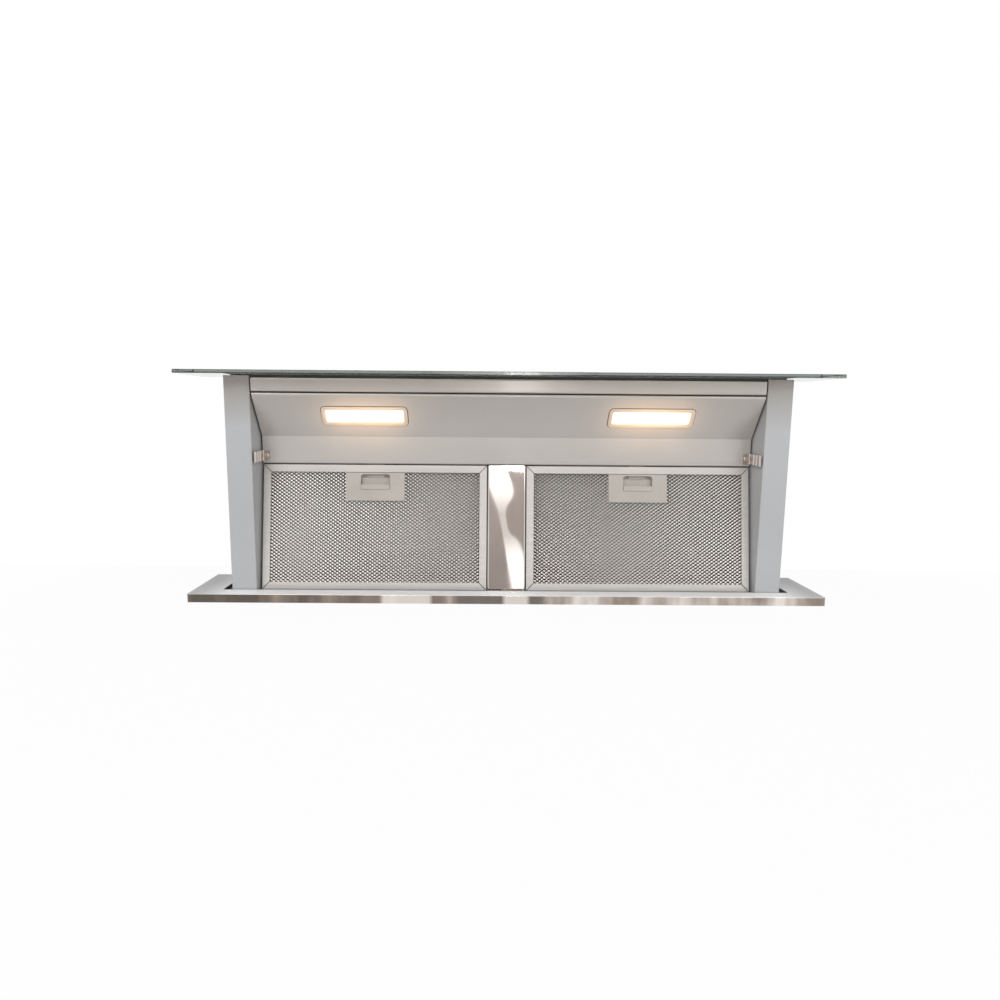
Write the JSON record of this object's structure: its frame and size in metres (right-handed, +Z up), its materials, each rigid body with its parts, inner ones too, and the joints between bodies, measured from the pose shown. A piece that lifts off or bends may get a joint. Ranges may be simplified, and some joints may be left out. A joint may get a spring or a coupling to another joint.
{
  "type": "downdraft range hood",
  "caption": "Downdraft range hood that rises from a slot in a worktop: lit carriage with grease filters and a glass top, over a housing with lift, blower and flapped outlet.",
  "frame": {"origin": "middle of the worktop flange, on the worktop's surface", "axes": "+X along the hood to its right, +Y to the back, +Z up; the carriage is drawn raised"},
  "size_m": [0.89, 0.2477, 0.8638],
  "materials": {
    "flange_steel": "satin stainless, polished front lip",
    "polished_steel": "mirror polished stainless",
    "clear_glass": "clear float glass with polished edges",
    "black_rubber": "matt",
    "grey_foam": "matt foam",
    "column_paint": "satin silver-grey powder coat",
    "panel_paint": "gloss warm grey paint",
    "bezel_plastic": "satin",
    "lamp_lens": "frosted, lit warm white",
    "heat_sink": "as extruded",
    "filter_aluminium": "satin anodised",
    "mesh_aluminium": "bright expanded mesh",
    "handle_plastic": "satin",
    "spring_steel": "bright",
    "zinc_sheet": "galvanised sheet",
    "bright_steel": "bright turned steel",
    "tube_aluminium": "drawn tube",
    "nylon": "natural nylon",
    "black_plastic": "fine texture",
    "motor_steel": "dark lacquer",
    "circuit_board": "solder mask"
  },
  "bodies": {
    "housing": {"worktop_flange": "flange_steel", "flange_seal": "grey_foam", "housing_front_panel": "zinc_sheet", "housing_back_panel": "zinc_sheet", "housing_left_panel": "zinc_sheet", "housing_right_panel": "zinc_sheet", "housing_bottom_panel": "zinc_sheet", "guide_rails": "zinc_sheet", "cabinet_brackets": "zinc_sheet", "actuator_base_bracket": "zinc_sheet", "blower_casing": "zinc_sheet", "blower_cover": "zinc_sheet", "housing_screws": "bright_steel", "actuator_base_pin": "bright_steel", "damper_pin": "bright_steel", "actuator_tube": "tube_aluminium", "actuator_gearbox": "black_plastic", "outlet_spigot": "black_plastic", "control_box": "black_plastic", "control_box_lid": "black_plastic", "cable_gland": "black_plastic", "actuator_motor": "motor_steel", "blower_motor": "motor_steel", "control_board": "circuit_board"},
    "carriage": {"left_column": "column_paint", "right_column": "column_paint", "carriage_back_panel": "column_paint", "top_fascia": "panel_paint", "glass_seal": "black_rubber", "glass_top": "clear_glass", "touch_board": "circuit_board", "lamp_panel": "panel_paint", "panel_brackets": "zinc_sheet", "left_lamp_bezel": "bezel_plastic", "right_lamp_bezel": "bezel_plastic", "left_lamp_lens": "lamp_lens", "right_lamp_lens": "lamp_lens", "lamp_modules": "heat_sink", "filter_sill": "column_paint", "centre_panel": "polished_steel", "left_filter_frame": "filter_aluminium", "right_filter_frame": "filter_aluminium", "left_filter_mesh": "mesh_aluminium", "right_filter_mesh": "mesh_aluminium", "left_handle_plate": "handle_plastic", "right_handle_plate": "handle_plastic", "left_spring_clip": "spring_steel", "right_spring_clip": "spring_steel", "clip_screws": "spring_steel", "glide_shoes": "nylon", "lift_rod": "bright_steel", "lift_bracket": "zinc_sheet", "lift_pin": "bright_steel"},
    "screw": {"drive_screw": "bright_steel"},
    "left_latch": {"left_filter_latch": "handle_plastic"},
    "right_latch": {"right_filter_latch": "handle_plastic"},
    "fan": {"fan_wheel": "zinc_sheet", "motor_shaft": "bright_steel"},
    "rear_flap": {"rear_damper_flap": "black_plastic"},
    "front_flap": {"front_damper_flap": "black_plastic"}
  },
  "joints": [
    {"name": "lift", "type": "slide", "parent": "housing", "child": "carriage", "axis": [0, 0, 1], "range_m": [-0.298, 0]},
    {"name": "drive_screw_turn", "type": "hinge", "parent": "housing", "child": "screw", "pos_m": [0, 0.0215, -0.3], "axis": [0, 0, 1], "range_deg": [0, 17880]},
    {"name": "left_filter_latch", "type": "slide", "parent": "carriage", "child": "left_latch", "axis": [0, -0.1466, -0.9892], "range_m": [0, 0.004], "stiffness_N_per_m": 300, "springref_m": -0.004},
    {"name": "right_filter_latch", "type": "slide", "parent": "carriage", "child": "right_latch", "axis": [0, -0.1466, -0.9892], "range_m": [0, 0.004], "stiffness_N_per_m": 300, "springref_m": -0.004},
    {"name": "fan_spin", "type": "hinge", "parent": "housing", "child": "fan", "pos_m": [-0.15, -0.1, -0.368], "axis": [0, -1, 0], "continuous": true},
    {"name": "rear_flap_swing", "type": "hinge", "parent": "housing", "child": "rear_flap", "pos_m": [0.0685, -0.1117, -0.448], "axis": [0, 0, -1], "range_deg": [0, 75], "stiffness_Nm_per_rad": 0.01, "springref_deg": -5.73},
    {"name": "front_flap_swing", "type": "hinge", "parent": "housing", "child": "front_flap", "pos_m": [0.0685, -0.1117, -0.448], "axis": [0, 0, 1], "range_deg": [0, 75], "stiffness_Nm_per_rad": 0.01, "springref_deg": -5.73}
  ],
  "couplings": [
    {"joint": "drive_screw_turn", "follows": "lift", "rad_per_m": -1047.2}
  ]
}
